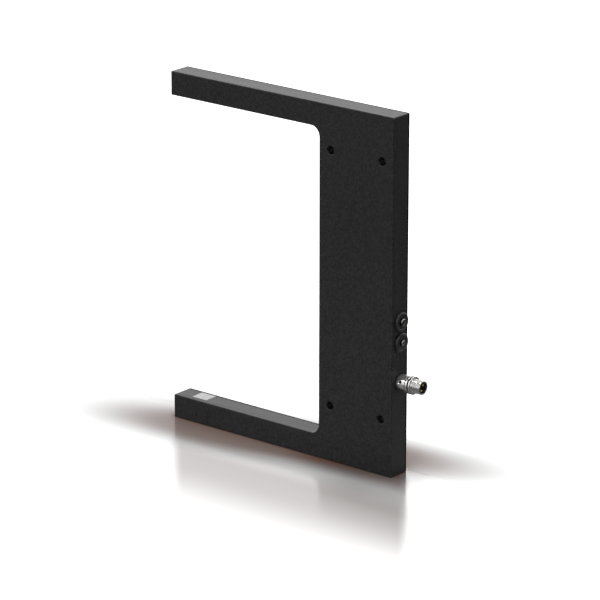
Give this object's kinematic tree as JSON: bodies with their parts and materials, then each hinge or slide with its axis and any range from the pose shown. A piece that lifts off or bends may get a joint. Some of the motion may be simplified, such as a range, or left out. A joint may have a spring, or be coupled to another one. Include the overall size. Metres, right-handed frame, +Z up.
{
  "type": "fork sensor",
  "caption": "Fork-shaped light barrier: black C-frame with a window in each arm, mounting holes, two screwdriver adjusters and a threaded plug on its rear edge.",
  "frame": {"origin": "middle of the housing's bottom face, without the plug", "axes": "+Z up along the body from the lower arm to the upper arm, +X from the arm tips to the rear edge with the plug, -Y out of the broad front face"},
  "size_m": [0.1762, 0.014, 0.208],
  "materials": {
    "black_anodised": "fine bead-blasted black anodised",
    "black_rubber": "matte",
    "black_steel": "blackened",
    "window_pane": "pale milky pane",
    "clear_lens": "polished",
    "clear_resin": "clear resin",
    "black_matte": "matte moulded",
    "black_gloss": "glossy moulded",
    "circuit_board": "green solder mask",
    "component_black": "moulded package",
    "component_blue": "moulded body",
    "capacitor_yellow": "moulded package",
    "header_white": "moulded",
    "grey_insulation": "soft insulation",
    "adjuster_metal": "turned and nickel plated",
    "nickel_plate": "bright nickel plate",
    "gold_plate": "gold plate",
    "green_light_guide": "smoky green guide",
    "amber_light_guide": "smoky amber guide"
  },
  "bodies": {
    "housing": {"housing_frame": "black_anodised", "back_cover": "black_anodised", "cover_gasket": "black_rubber", "cover_screws": "black_steel", "lower_window": "window_pane", "upper_window": "window_pane", "emitter_board": "circuit_board", "emitter_led": "clear_resin", "emitter_lens_holder": "black_matte", "emitter_lens": "clear_lens", "emitter_ribbon": "grey_insulation", "receiver_board": "circuit_board", "receiver_photodiode": "component_black", "receiver_lens_holder": "black_matte", "receiver_lens": "clear_lens", "receiver_ribbon": "grey_insulation", "main_board": "circuit_board", "signal_chip": "component_black", "voltage_regulator": "component_black", "smoothing_capacitors": "capacitor_yellow", "emitter_header": "header_white", "receiver_header": "header_white", "plug_header": "header_white", "sensitivity_potentiometer": "component_blue", "sensitivity_bezel": "black_gloss", "selector_switch": "component_blue", "selector_bezel": "black_gloss", "power_led": "clear_resin", "output_led": "clear_resin", "power_light_pipe": "green_light_guide", "output_light_pipe": "amber_light_guide", "plug_shell": "nickel_plate", "plug_insert": "black_matte", "plug_pins": "gold_plate", "plug_seal": "black_rubber", "plug_leads": "grey_insulation"},
    "sensitivity_adjuster": {"sensitivity_rotor": "adjuster_metal"},
    "selector_adjuster": {"selector_rotor": "adjuster_metal"}
  },
  "joints": [
    {"name": "sensitivity_turn", "type": "hinge", "parent": "housing", "child": "sensitivity_adjuster", "pos_m": [0.08, 0.0006, 0.09], "axis": [1, 0, 0], "range_deg": [-135, 135]},
    {"name": "selector_turn", "type": "hinge", "parent": "housing", "child": "selector_adjuster", "pos_m": [0.08, 0.0006, 0.078], "axis": [1, 0, 0], "range_deg": [0, 90]}
  ]
}
